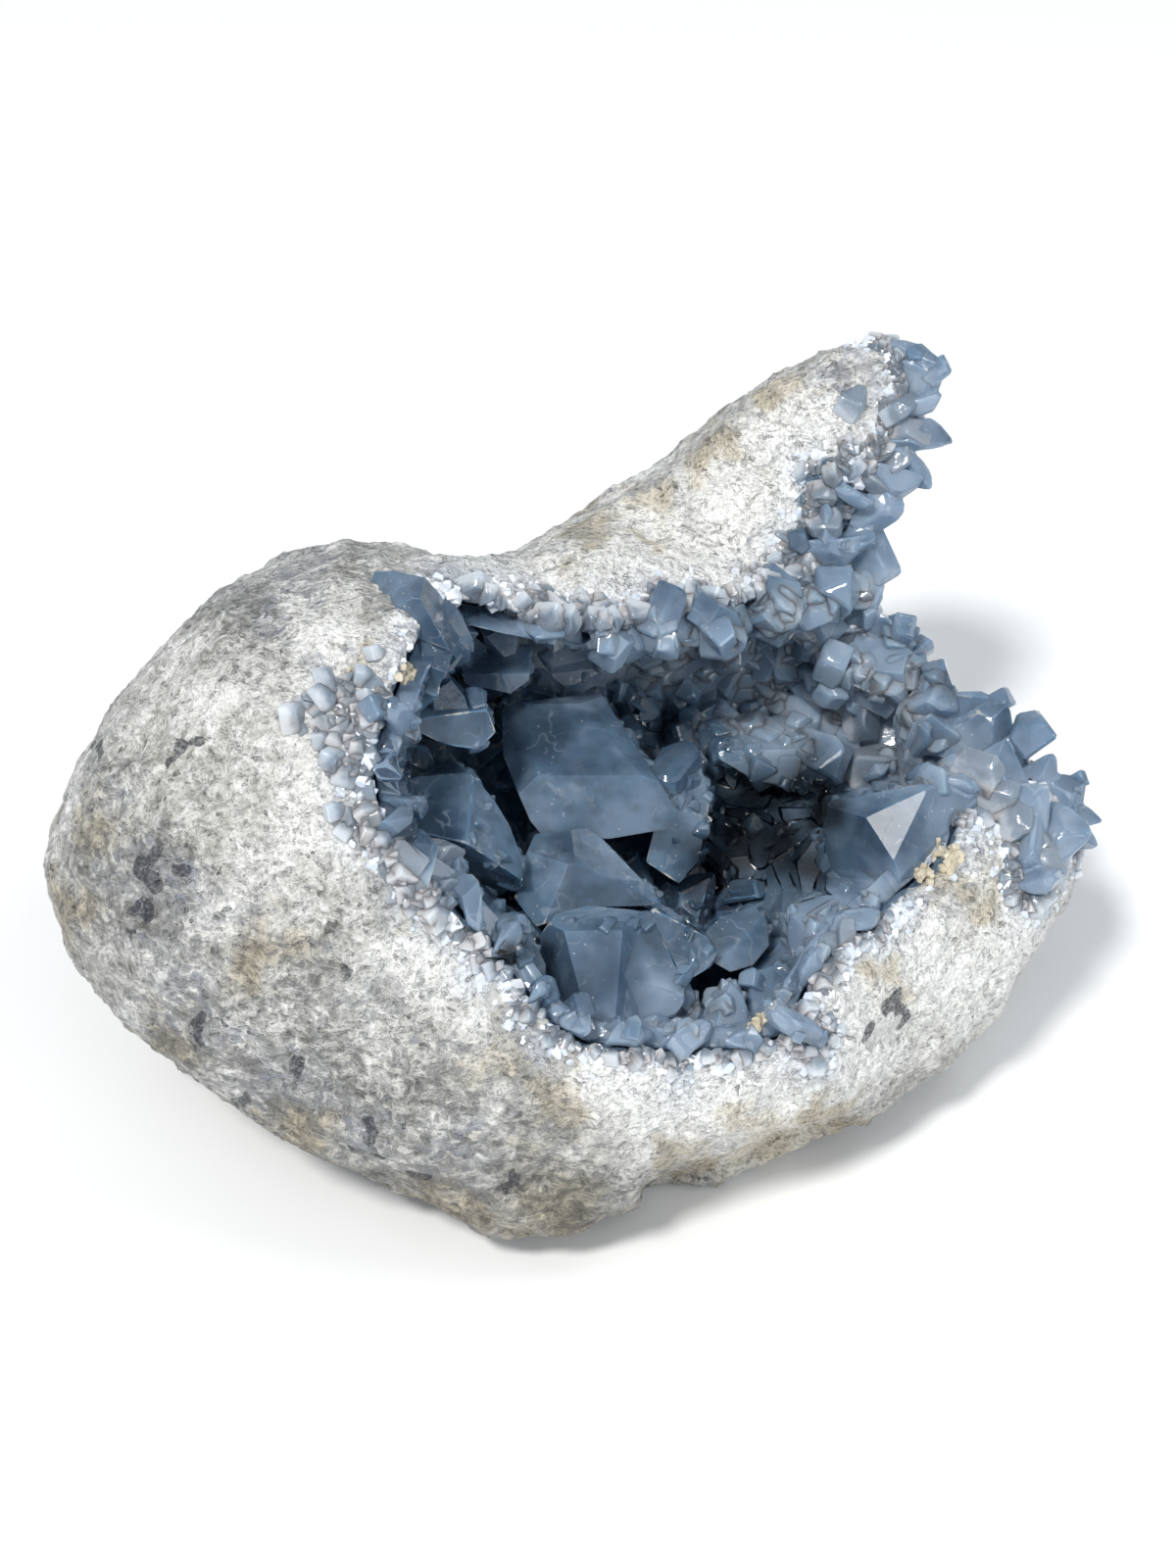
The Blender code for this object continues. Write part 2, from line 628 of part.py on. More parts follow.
def shown_crystals(chance, hollow, where):
    """Crystals of the wall on a shaken grid, each where its line of sight meets the wall."""
    wall = BVHTree.FromPolygons(
        [v.co for v in hollow.data.vertices], [p.vertices[:] for p in hollow.data.polygons]
    )
    eye = sight_point(0, 0, SIGHT_DISTANCE)
    columns, rows = [
        round((max(c[i] for c in MOUTH) - min(c[i] for c in MOUTH)) / SHOWN_PITCH) for i in (0, 1)
    ]
    left, low = [min(c[i] for c in MOUTH) for i in (0, 1)]
    for i in range(columns * rows):
        x = left + (i % columns + chance.uniform(*SHOWN_SHAKE)) * SHOWN_PITCH
        y = low + (i // columns + chance.uniform(*SHOWN_SHAKE)) * SHOWN_PITCH
        start = sight_point(x, y, SHOWN_FROM)
        spot, normal, _, _ = wall.ray_cast(start, (start - eye).normalized())
        width = chance.uniform(*SHOWN_WIDTH)
        length = width * chance.uniform(*WALL_LENGTH)
        wander = Vector([chance.uniform(-1, 1) for _ in range(3)]) * SCATTER_LEAN
        lean = chance.uniform(*SHOWN_LEAN)
        spin = chance.uniform(0, math.tau)
        if spot is None or not within_outline(MOUTH, x, y):
            continue
        axis = (wander + BACK * lean - normal).normalized()
        bm = chisel(chance, width, length)
        stand(bm, spot + axis * length * WALL_CLEAR * MM, axis, length, spin)
        new_object(f"shown_{i}", bm, where)


def wall_crystals(chance, surface, hollow, where):
    """Crystals strewn over the wall of the hollow, no closer together than the spacing."""
    spots = []
    faces = list(hollow.data.polygons)
    chance.shuffle(faces)
    for face in faces:
        spot = face.center
        nearest, normal, _, _ = surface.find_nearest(spot)
        room = (nearest - spot).dot(normal) / MM
        crowded = any((spot - other).length < SCATTER_SPACING * MM for other, _, _ in spots)
        if room > SCATTER_ROOM and not crowded:
            spots.append((spot, -face.normal, room))
    for i, (spot, inward, room) in enumerate(spots):
        width = min(chance.uniform(*SCATTER_WIDTH), SCATTER_THIN + room * SCATTER_DEEP)
        length = width * chance.uniform(*WALL_LENGTH)
        wander = Vector([chance.uniform(-1, 1) for _ in range(3)]) * SCATTER_LEAN
        axis = (inward + wander).normalized()
        bm = chisel(chance, width, length)
        stand(bm, spot + axis * length * WALL_CLEAR * MM, axis, length, chance.uniform(0, math.tau))
        new_object(f"wall_{i}", bm, where)


def build_crystals(hollow, nodule):
    crystals = collection("crystals")
    crystals.hide_render = True
    for name, form in CRYSTALS.items():
        new_object(name, large_crystal(*form), crystals)
    surface = BVHTree.FromPolygons(
        [v.co for v in nodule.data.vertices], [p.vertices[:] for p in nodule.data.polygons]
    )
    rim_crystals(random.Random(RIM_SEED), surface, crystals)
    lip_crystals(random.Random(LIP_SEED), surface, crystals)
    shown_crystals(random.Random(SHOWN_SEED), hollow, crystals)
    wall_crystals(random.Random(WALL_SEED), surface, hollow, crystals)
    return crystals


def largest_piece(obj):
    """Keeps the biggest connected piece of a mesh."""
    bm = bmesh.new()
    bm.from_mesh(obj.data)
    waiting = set(bm.verts)
    pieces = []
    while waiting:
        stack = [waiting.pop()]
        piece = set(stack)
        while stack:
            for edge in stack.pop().link_edges:
                for vert in edge.verts:
                    if vert in waiting:
                        waiting.discard(vert)
                        piece.add(vert)
                        stack.append(vert)
        pieces.append(piece)
    pieces.sort(key=len)
    loose = [vert for piece in pieces[:-1] for vert in piece]
    bmesh.ops.delete(bm, geom=loose, context="VERTS")
    bm.to_mesh(obj.data)
    bm.free()


def finish(obj, name, look):
    """Gives an object a material of its own."""
    material = bpy.data.materials.new(name)
    material.use_nodes = True
    shader = material.node_tree.nodes["Principled BSDF"]
    for socket, value in look.items():
        shader.inputs[socket].default_value = value
    obj.data.materials.clear()
    obj.data.materials.append(material)


def build_rock(nodule, coarse, parts, helpers):
    """The nodule with its hollow, cut off flat where it rests."""
    shell = copy_of(nodule, "rock_shell", parts)
    boolean(shell, "hollow", coarse, "DIFFERENCE")
    width, height = BASE_CUT
    below = new_object("below", block((-width, -width, -height), (width, width, 0)), helpers)
    boolean(shell, "base", below, "DIFFERENCE")
    settle(shell)
    finish(shell, "rock", ROCK_LOOK)
    return shell


def build_crust(nodule, hollow, coarse, shell, parts, helpers):
    """A lining of the hollow with all crystals grown onto it, clear of the rock by a small gap."""
    crystals = build_crystals(coarse, nodule)
    swollen = copy_of(shell, "swollen", helpers)
    swell(swollen, CRUST_GAP)
    settle(swollen)
    deep = copy_of(hollow, "deep", helpers)
    swell(deep, -CRUST_DEPTH)
    thin_out(deep, HOLLOW_SHARE)
    settle(deep)
    crust = copy_of(coarse, "crystal_crust", parts)
    boolean(crust, "inner", deep, "DIFFERENCE")
    within = copy_of(nodule, "within", helpers)
    swell(within, -LINING_SETBACK)
    displace(within, "ragged", RAGGED_SIZE, RAGGED_DEPTH)
    settle(within)
    boolean(crust, "within", within, "INTERSECT")
    settle(crust)
    for piece in crystals.objects:
        boolean(crust, piece.name, piece, "UNION")
    boolean(crust, "gap", swollen, "DIFFERENCE")
    boolean(crust, "rock", shell, "DIFFERENCE")
    settle(crust)
    largest_piece(crust)
    finish(crust, "celestite", CRYSTAL_LOOK)


def main():
    clear_scene()
    parts = collection("celestite_geode")
    helpers = collection("helpers")
    helpers.hide_render = True
    nodule = build_nodule(helpers)
    hollow = build_hollow(helpers)
    coarse = copy_of(hollow, "coarse_hollow", helpers)
    thin_out(coarse, HOLLOW_SHARE)
    settle(coarse)
    shell = build_rock(nodule, coarse, parts, helpers)
    build_crust(nodule, hollow, coarse, shell, parts, helpers)


main()
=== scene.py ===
"""Celestite geode: a rough nodule of grey-white rock, broken open on a hollow full of blue crystals."""

import math
import random

import bmesh
import bpy
from mathutils import Matrix, Vector, noise
from mathutils.bvhtree import BVHTree


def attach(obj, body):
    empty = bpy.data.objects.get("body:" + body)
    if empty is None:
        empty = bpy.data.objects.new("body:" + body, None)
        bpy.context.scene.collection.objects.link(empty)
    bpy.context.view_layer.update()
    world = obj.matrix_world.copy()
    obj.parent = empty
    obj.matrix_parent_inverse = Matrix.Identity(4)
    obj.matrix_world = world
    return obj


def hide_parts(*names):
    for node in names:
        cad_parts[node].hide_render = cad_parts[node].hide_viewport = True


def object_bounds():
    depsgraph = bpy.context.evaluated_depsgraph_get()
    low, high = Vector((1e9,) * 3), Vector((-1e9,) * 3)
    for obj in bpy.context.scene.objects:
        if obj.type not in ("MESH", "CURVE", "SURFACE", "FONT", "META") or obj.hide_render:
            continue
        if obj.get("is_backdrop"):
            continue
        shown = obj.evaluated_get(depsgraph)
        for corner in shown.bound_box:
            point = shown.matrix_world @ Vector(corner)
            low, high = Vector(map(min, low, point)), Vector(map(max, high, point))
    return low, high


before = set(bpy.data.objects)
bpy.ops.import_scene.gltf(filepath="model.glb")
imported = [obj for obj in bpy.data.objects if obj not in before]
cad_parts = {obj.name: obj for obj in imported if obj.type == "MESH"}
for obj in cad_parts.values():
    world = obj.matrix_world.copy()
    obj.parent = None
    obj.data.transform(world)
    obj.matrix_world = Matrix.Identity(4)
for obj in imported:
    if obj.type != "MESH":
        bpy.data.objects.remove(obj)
cad_low, cad_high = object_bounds()

# Line of sight: the stone is looked down on across its broken side. Places on it are given as
# millimetres to the right and up of the middle of the view, on a plane square to this line, and lie
# where the line meets the stone.
MM = 0.001
SIGHT_TILT = math.radians(38)
SIGHT_TARGET = Vector((0, 0, 50 * MM))
SIGHT_DISTANCE = 420 * MM
RIGHT = Vector((1, 0, 0))
UP = Vector((0, math.sin(SIGHT_TILT), math.cos(SIGHT_TILT)))
BACK = Vector((0, -math.cos(SIGHT_TILT), math.sin(SIGHT_TILT)))
EYE = SIGHT_TARGET + BACK * SIGHT_DISTANCE
# Focal length for each unit of the picture's long side
SIGHT_LENS = 1.7325
SENSOR = 36

camera = bpy.data.objects.new("camera", bpy.data.cameras.new("camera"))
bpy.context.scene.collection.objects.link(camera)
camera.data.sensor_width = SENSOR
camera.data.lens = SIGHT_LENS * SENSOR
camera.data.clip_start = 0.01
camera.location = EYE
camera.rotation_mode = "QUATERNION"
camera.rotation_quaternion = (-BACK).to_track_quat("-Z", "Y")
bpy.context.scene.camera = camera


def tree_of(*meshes):
    points, faces = [], []
    for mesh in meshes:
        first = len(points)
        points += [v.co for v in mesh.vertices]
        faces += [[first + i for i in p.vertices] for p in mesh.polygons]
    return BVHTree.FromPolygons(points, faces)


rock_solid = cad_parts["rock_shell"].data
crust_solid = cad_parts["crystal_crust"].data
stone_tree = tree_of(rock_solid, crust_solid)
crust_tree = tree_of(crust_solid)


def seen(x, y):
    """The place on the stone that is seen at x, y."""
    toward = (SIGHT_TARGET + (RIGHT * x + UP * y) * MM - EYE).normalized()
    return stone_tree.ray_cast(EYE, toward)[0]


# The rock: a nodule of intergrown grains, rounded by wear, white where it is fresh and grey, ochre and
# charcoal where the grains are clear, stained or gone, with painted highlights on its grains and painted
# shade in their hollows, on its underside and in the hollow, and painted light on one ledge. Its broken
# edge runs round the hollow.
def only(obj):
    bpy.ops.object.select_all(action="DESELECT")
    obj.select_set(True)
    bpy.context.view_layer.objects.active = obj


def apply_all(obj):
    only(obj)
    for modifier in list(obj.modifiers):
        bpy.ops.object.modifier_apply(modifier=modifier.name)


def merged_copy(node, name):
    """A piece with the closed mesh of a CAD node, whose own mesh is loose triangles."""
    made = bpy.data.objects.new(name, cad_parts[node].data.copy())
    bpy.context.scene.collection.objects.link(made)
    made.data.materials.clear()
    only(made)
    bpy.ops.object.mode_set(mode="EDIT")
    bpy.ops.mesh.select_all(action="SELECT")
    bpy.ops.mesh.remove_doubles(threshold=0.01 * MM)
    bpy.ops.object.mode_set(mode="OBJECT")
    return made


def roughen(obj, name, size, depth):
    """Push a surface in and out by clouds whose lumps are this many millimetres across."""
    texture = bpy.data.textures.new(name, "CLOUDS")
    texture.noise_scale = size * MM
    bumps = obj.modifiers.new(name, "DISPLACE")
    bumps.texture = texture
    bumps.texture_coords = "LOCAL"
    bumps.strength = depth * MM


def within_box(obj):
    """Press what stands out of the CAD box back to it."""
    for vert in obj.data.vertices:
        for axis in range(3):
            vert.co[axis] = min(max(vert.co[axis], cad_low[axis]), cad_high[axis])


def smoothstep(low, high, value):
    share = min(max((value - low) / (high - low), 0), 1)
    return share * share * (3 - 2 * share)


def field(obj, name, values, domain="POINT"):
    """Paint a value on each point or face, for the finishes to read."""
    made = obj.data.attributes.new(name, "FLOAT", domain)
    made.data.foreach_set("value", values)


class Wire:
    """An output of a node in a finish. Sums, products and differences of it are Math nodes."""

    def __init__(self, finish, socket):
        self.finish = finish
        self.socket = socket

    def math(self, operation, first, second=0.0):
        return self.finish.node("ShaderNodeMath", {"operation": operation}, {0: first, 1: second})

    def __add__(self, other):
        return self.math("ADD", self, other)

    def __mul__(self, other):
        return self.math("MULTIPLY", self, other)

    def __sub__(self, other):
        return self.math("SUBTRACT", self, other)

    def __rsub__(self, other):
        return self.math("SUBTRACT", other, self)

    def larger(self, other):
        return self.math("MAXIMUM", self, other)

    __radd__ = __add__
    __rmul__ = __mul__


class Finish:
    """A material in the making. Its place is the point on the piece, in millimetres."""

    def __init__(self, name):
        self.material = bpy.data.materials.new(name)
        self.material.use_nodes = True
        self.tree = self.material.node_tree
        self.tree.nodes.clear()
        self.place = self.vector("SCALE", self.node("ShaderNodeTexCoord", out="Object"), Scale=1 / MM)

    def node(self, kind, settings=None, sockets=None, out=0):
        made = self.tree.nodes.new(kind)
        for name, value in (settings or {}).items():
            setattr(made, name, value)
        for name, value in (sockets or {}).items():
            if isinstance(value, Wire):
                self.tree.links.new(value.socket, made.inputs[name])
            else:
                made.inputs[name].default_value = value
        return Wire(self, made.outputs[out])

    def vector(self, operation, first, second=None, out=0, **sockets):
        values = {0: first, **sockets}
        if second is not None:
            values[1] = second
        return self.node("ShaderNodeVectorMath", {"operation": operation}, values, out)

    def noise(self, size, detail=3.0, rough=0.55, out=0, place=None):
        """Clouds from 0 to 1, whose lumps are this many millimetres across."""
        sockets = {"Vector": place or self.place, "Scale": 1 / size, "Detail": detail, "Roughness": rough}
        return self.node("ShaderNodeTexNoise", None, sockets, out)

    def cells(self, size, out="Color", place=None):
        """Grains that are this many millimetres across, each with a colour of its own."""
        sockets = {"Vector": place or self.place, "Scale": 1 / size}
        return self.node("ShaderNodeTexVoronoi", None, sockets, out)

    def painted(self, name):
        return self.node("ShaderNodeAttribute", {"attribute_name": name}, out="Fac")

    def step(self, value, low, high, start=0.0, end=1.0):
        """From start to end as the value goes from low to high."""
        sockets = {"Value": value, "From Min": low, "From Max": high, "To Min": start, "To Max": end}
        return self.node("ShaderNodeMapRange", {"interpolation_type": "SMOOTHSTEP"}, sockets)

    def mix(self, share, first, second, blend="MIX"):
        sockets = {0: share, 6: first, 7: second}
        return self.node("ShaderNodeMix", {"data_type": "RGBA", "blend_type": blend}, sockets, 2)

    def near(self, x, y, radius, soft):
        """1 round the place that is seen at x, y, and 0 past this radius."""
        far = self.vector("DISTANCE", self.place, tuple(seen(x, y) / MM), out="Value")
        return self.step(far, radius - soft, radius + soft, 1.0, 0.0)

    def bump(self, height, strength, depth):
        sockets = {"Strength": strength, "Distance": depth * MM, "Height": height}
        return self.node("ShaderNodeBump", None, sockets)

    def principled(self, **sockets):
        named = {name.replace("_", " "): value for name, value in sockets.items()}
        return self.node("ShaderNodeBsdfPrincipled", None, named)

    def surface(self, shader, volume=None):
        end = self.tree.nodes.new("ShaderNodeOutputMaterial")
        self.tree.links.new(shader.socket, end.inputs["Surface"])
        if volume:
            self.tree.links.new(volume.socket, end.inputs["Volume"])


# The power that turns the numbers of a paint chart into light
CHART_GAMMA = 2.2


def tone(red, green, blue):
    """A colour as paint charts give it, from 0 to 255, for a shader, which counts light."""
    return (*[(c / 255) ** CHART_GAMMA for c in (red, green, blue)], 1)


def sight(point):
    """Where a point is in the view, in millimetres to the right and up of its middle."""
    from_eye = point - EYE
    scale = SIGHT_DISTANCE / -from_eye.dot(BACK) / MM
    return from_eye.dot(RIGHT) * scale, from_eye.dot(UP) * scale


# The clouds take their place from the clock unless they get a seed
noise.seed_set(3)


def in_spots(spots, point, ragged=1.0):
    """1 in the middle of any of these ragged spots, and 0 outside them."""
    drift = noise.noise_vector(point * 0.13 / MM) * 5 + noise.noise_vector(point * 0.4 / MM) * 2.5
    x, y = sight(point + drift * ragged * MM)
    return max(1 - smoothstep(0.2, 1.2, math.hypot(x - spot[0], y - spot[1]) / spot[2]) for spot in spots)


ROCK_GRAIN = 0.95
# Where the rock is stained, dark, clear and grey, dull grey with painted shade, or fresh and white, with
# painted light on the low ledge at the front: a place as seen and a radius
ROCK_SPOTS = {
    "stained": (
        (-36, 18, 5), (-50, -26, 8), (-76, -8, 9), (-12, -41, 12), (56, -15, 4), (-29, -21, 4),
        (-5, -49, 8), (27, -57, 10), (38, -53, 8), (-6, -64, 12), (-22, -64, 10), (-45, -56, 9),
        (-66, -42, 9), (16, -59, 7), (0, 38, 7), (10, 43, 7), (20, 52, 7), (30, 60, 6), (62, -18, 7),
        (46, -30, 5), (-80, -20, 8),
    ),
    "charcoal": (
        (-37, -31, 1.9), (-45.5, -44, 2.4), (-66, -15.5, 2.6), (-59, -37.5, 2), (-71, -19, 2),
        (46.5, -34.5, 2.6), (-75, 5, 1.6), (-62, 4, 1.4), (-33, -54, 2), (-26, -60, 2.2),
        (-52, -52, 2.4), (-13, -61, 1.6),
    ),
    "clear": (
        (-31, -29, 3.4), (-24, -31, 2.8), (-49, 26, 6), (-66, -17, 9), (-60, -36, 9), (-47, -46, 9),
        (-36, -54, 9), (-58, 33, 8), (-43, 32, 6), (-22, -58, 8), (-72, 0, 6), (42, 54, 4), (36, 62, 4),
        (-40, 23, 4),
    ),
    "dull_and_shade": (
        (-62, 0, 24), (-50, -38, 24), (-30, -50, 20), (-75, -20, 20), (-55, 25, 12), (-8, -62, 18),
        (-40, -22, 12), (-34, 32, 9), (-62, -42, 15), (-48, -54, 15), (-30, -62, 15),
    ),
    "fresh_and_lit": (
        (-58, 8, 16), (-45, -10, 12), (-40, 25, 8), (-30, -24, 8), (-18, -32, 9), (10, -46, 13),
        (25, -46, 12), (40, -40, 12), (50, -28, 10), (5, 30, 8), (18, 34, 9), (30, 42, 10), (38, 52, 9),
        (10, 38, 8), (22, 46, 8), (31, 53, 8), (-14, 31, 6), (-5, 30, 6), (66, -22, 11), (58, -32, 11),
        # The spot at 27, -57 whitens the low ledge at the front: painted light over its shade.
        (-50, -2, 14), (27, -57, 11),
    ),
}
# Rock counts as covered this near to the crust, where a crystal stands over it or it faces the hollow
# this squarely
COVER_REACH = 3
COVER_FACING = 0.55
# A point between the crystals and the viewer
crust_points = [v.co for v in crust_solid.vertices]
over_hollow = sum(crust_points, Vector()) / len(crust_points) + BACK * 12 * MM
rock = merged_copy("rock_shell", "rock")
remesh = rock.modifiers.new("grain", "REMESH")
remesh.mode = "VOXEL"
remesh.voxel_size = ROCK_GRAIN * MM
wear = rock.modifiers.new("wear", "SMOOTH")
wear.factor = 0.5
wear.iterations = 14
roughen(rock, "lumps", 9, 1.6)
roughen(rock, "knobs", 3.2, 1.1)
roughen(rock, "grains", 1.3, 0.9)
apply_all(rock)
within_box(rock)
to_crystal, covered = [], []
for vert in rock.data.vertices:
    to_crystal.append(crust_tree.find_nearest(vert.co)[3] / MM)
    above = crust_tree.ray_cast(vert.co, vert.normal, 4 * MM)
    inward = vert.normal.dot((over_hollow - vert.co).normalized())
    covered.append(to_crystal[-1] < COVER_REACH and (above[0] is not None or inward > COVER_FACING))
field(rock, "inside", [1.0 if c else 0.0 for c in covered])
field(rock, "rim", [0.0 if c else 1 - smoothstep(1, 9, d) for c, d in zip(covered, to_crystal)])
for name, spots in ROCK_SPOTS.items():
    field(rock, name, [in_spots(spots, v.co) for v in rock.data.vertices])
only(rock)
bpy.ops.object.shade_smooth()

stone = Finish("rock")
warp = stone.vector("SCALE", stone.noise(4, 1, out="Color"), Scale=3)
grown = stone.vector("ADD", stone.place, warp)
height = stone.noise(1.9, 4, 0.66, place=grown)
fine = stone.noise(0.55, 2, 0.65)
patch = stone.noise(11, 4, 0.6)
grain = stone.cells(1.25, place=grown)
large = stone.cells(2.4, place=grown)
chalk = tone(250, 249, 245)
grey = tone(190, 191, 194)
clear_grain = tone(120, 126, 138)
charcoal = tone(56, 58, 66)
ochre = tone(202, 188, 156)
tan_and_underside_shade = tone(158, 146, 124)
slate_and_hollow_shade = tone(104, 126, 148)
fresh_and_lit = stone.painted("fresh_and_lit")
clear_here = stone.painted("clear")
slant = {"Vector": grown, "Rotation": (0.5, 0.7, 0.4), "Scale": (0.3, 1, 1)}
along = stone.node("ShaderNodeMapping", None, slant)
fibre = stone.noise(0.9, 3, 0.6, place=along)
# Painted highlights and painted shade on the grains: white on the high places of the bump and grey in its low
# ones, with the white of fresh rock and the grey of clear grains; below, the pits of the fine bump get painted
# shade in dark grey.
chalk_and_grain_shading = height * 0.6 + fibre * 0.6 + patch * 0.35 + fresh_and_lit * 0.27 - clear_here * 0.1
colour = stone.mix(stone.step(chalk_and_grain_shading, 0.63, 0.88), grey, chalk)
colour = stone.mix(stone.step(fine, 0.38, 0.52, 0.35, 0.0), colour, tone(132, 133, 136))
mottled = stone.step(stone.noise(7, 3), 0.42, 0.62, 0.7, 0.0) * (1 - fresh_and_lit * 0.8)
colour = stone.mix(mottled, colour, tone(210, 209, 206), "MULTIPLY")
# Darker over the lower left and the bottom: duller grey rock, and painted shade on the underside, deepest
# where the bump is low.
dull_and_shade = stone.painted("dull_and_shade") * stone.step(height + patch * 0.4, 0.45, 0.95, 1.0, 0.15)
colour = stone.mix(dull_and_shade, colour, tone(168, 166, 159), "MULTIPLY")
glassy = grain * 0.5 + fibre * 0.4 + patch * 0.15 + clear_here * 0.14 - fresh_and_lit * 0.16
clear = stone.step(glassy, 0.68, 0.80)
colour = stone.mix(clear * stone.step(height, 0.4, 0.6, 0.35, 0.75), colour, clear_grain)
dark = stone.step(large * 0.4 + patch * 0.6 + clear_here * 0.1 - fresh_and_lit * 0.1, 0.76, 0.82)
dark = dark.larger(stone.step(stone.painted("charcoal") + height * 0.8, 0.7, 0.9))
colour = stone.mix(dark * stone.step(fine, 0.42, 0.54, 0.55, 0.9), colour, charcoal)
stained = stone.step(stone.painted("stained") * 0.7 + patch * 0.7 + height * 0.6, 0.8, 1.5)
colour = stone.mix(stained * 0.7, colour, ochre, "MULTIPLY")
# Darker and tan toward the bottom: a tan tint of the rock, and painted shade on the underside, less on fresh
# rock.
low = stone.step(stone.node("ShaderNodeSeparateXYZ", None, {0: stone.place}, "Z"), 6, 34, 1.0, 0.0)
colour = stone.mix(low * (0.5 - fresh_and_lit * 0.4), colour, tan_and_underside_shade, "MULTIPLY")
rim = stone.painted("rim")
colour = stone.mix(rim * stone.step(patch, 0.35, 0.6, 0.6, 0.1), colour, tone(164, 177, 194))
# Slate blue on rock under the crystals and facing the hollow: the blue of the hollow's wall, and painted shade
# that keeps the hollow dark.
colour = stone.mix(stone.painted("inside"), colour, slate_and_hollow_shade)
cleavage = stone.vector("SUBTRACT", stone.cells(0.9, place=grown), (0.5, 0.5, 0.5))
tilt = stone.vector("SCALE", cleavage, Scale=0.9)
relief = stone.bump(height * 0.8 + fibre * 0.5 + fine * 0.4, 1.0, 1.5)
normal = stone.vector("NORMALIZE", stone.vector("ADD", relief, tilt))
glint = stone.step(fine, 0.4, 0.6, 0.3, 0.65)
stone.surface(stone.principled(Base_Color=colour, Roughness=glint, Normal=normal))
rock.data.materials.append(stone.material)
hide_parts("rock_shell")
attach(rock, "root")

# The crystals: clear slate-blue blocks with chisel ends, grown into one crust from the wall of the
# hollow, cloudy at their feet and bright on their flat faces.
CELESTITE_IOR = 1.62
# The flat bright face of the crystal on the right, as seen
MIRROR_FACE = (48.2, -6.5)
# Large crystals whose edges stay sharp: a place as seen and a radius
CRISP = (
    (0, 2.3, 20), (0, -13.6, 11), (0.8, -30.3, 11), (45.5, -7.6, 12), (-24, -9, 12), (-24, 25.8, 9),
    (-14.4, 18, 8), (24, -32, 7), (22.7, -23.5, 8),
)
chance = random.Random(11)
crystals = merged_copy("crystal_crust", "crystals")
bpy.ops.object.mode_set(mode="EDIT")
bpy.ops.mesh.select_all(action="SELECT")
bpy.ops.mesh.dissolve_limited(angle_limit=math.radians(0.6))
bpy.ops.object.mode_set(mode="OBJECT")
field(crystals, "facet", [chance.random() for face in crystals.data.polygons], "FACE")
gem = Finish("celestite")
keen_edge = Finish("celestite_edge")
crystals.data.materials.append(gem.material)
crystals.data.materials.append(keen_edge.material)
edge = crystals.modifiers.new("edges", "BEVEL")
edge.width = 0.13 * MM
edge.material = 1
edge.limit_method = "ANGLE"
edge.angle_limit = math.radians(20)
edge.segments = 1
apply_all(crystals)

# Where the crystals are cloudy and pale, and where the hollow is too deep to have small ones, as seen,
# with a radius
PALE = (
    (68, -6, 12), (74, -12, 8), (58, 4, 9), (48, 12, 10), (40, 20, 9), (30, 10, 9), (45, 30, 8),
    (47, 45, 9), (52, 60, 7), (-40, 9, 9), (-42, 17, 8), (-33, 0, 8), (-26, -14, 8), (15, -39, 9),
    (28, -36, 8), (36, -24, 9), (0, -41, 8), (-12, 22, 5), (0, 24, 5), (12, 24, 6), (-4, 18, 5),
    (46, -15, 6), (20, 20, 9), (26, 14, 8), (34, 26, 9), (38, 10, 8), (46, 6, 8), (5, 20, 6),
    (12, 17, 6), (-1, 16, 5), (10, -33, 7), (22, -33, 7),
)
PITS = ((26, -4, 6), (36, -4, 5), (22, 2, 5), (30, -12, 5), (14, -12, 5), (-40, 6, 3))
# Where they are deep blue, their own colour and painted shade under the dome and the strip of rind, and
# where painted shade makes them almost black in the pits at the bottom of the hollow
DEEP_AND_SHADED = (
    (-23, 27, 9), (-17, 19, 7), (-23, 19, 7), (-30, 2, 6), (-23, -6, 8), (20, -16, 9), (14, 8, 6),
    (45, -8, 7), (-6, 8, 8), (2, -29, 8),
)
PIT_SHADE = (
    (25.5, -3, 8), (24, -9, 7), (36.5, -4, 6), (33, 0, 6), (29, -9, 8), (-12, -26, 3), (20, -12, 6),
    (34, -12, 6),
)


def paled(obj):
    """Paint where a piece is pale, deep blue in part by painted shade, and almost black by painted shade."""
    for name, spots in (("pale", PALE), ("deep", DEEP_AND_SHADED), ("pit_shade", PIT_SHADE)):
        field(obj, name, [in_spots(spots, v.co, 0.4) for v in obj.data.vertices])


def divide(obj, longest):
    """Split the edges that are longer than this many millimetres."""
    mesh = bmesh.new()
    mesh.from_mesh(obj.data)
    bmesh.ops.triangulate(mesh, faces=mesh.faces)
    for i in range(5):
        long = [e for e in mesh.edges if e.calc_length() > longest * MM]
        bmesh.ops.subdivide_edges(mesh, edges=long, cuts=1)
        bmesh.ops.triangulate(mesh, faces=mesh.faces)
    mesh.to_mesh(obj.data)
    mesh.free()


divide(crystals, 1.8)
# Points on the broken edge, where the open rock meets the crystals
edge_points = [v.co for v, c, d in zip(rock.data.vertices, covered, to_crystal) if not c and d < 1.5]
edge_spots = [(i, i, i) for i in range(len(edge_points))]
edge_tree = BVHTree.FromPolygons([p.copy() for p in edge_points], edge_spots)
to_edge = [edge_tree.find_nearest(v.co)[3] / MM for v in crystals.data.vertices]
field(crystals, "rim", [1 - smoothstep(2, 11, d) for d in to_edge])
crisp = [(seen(x, y), reach * MM) for x, y, reach in CRISP]


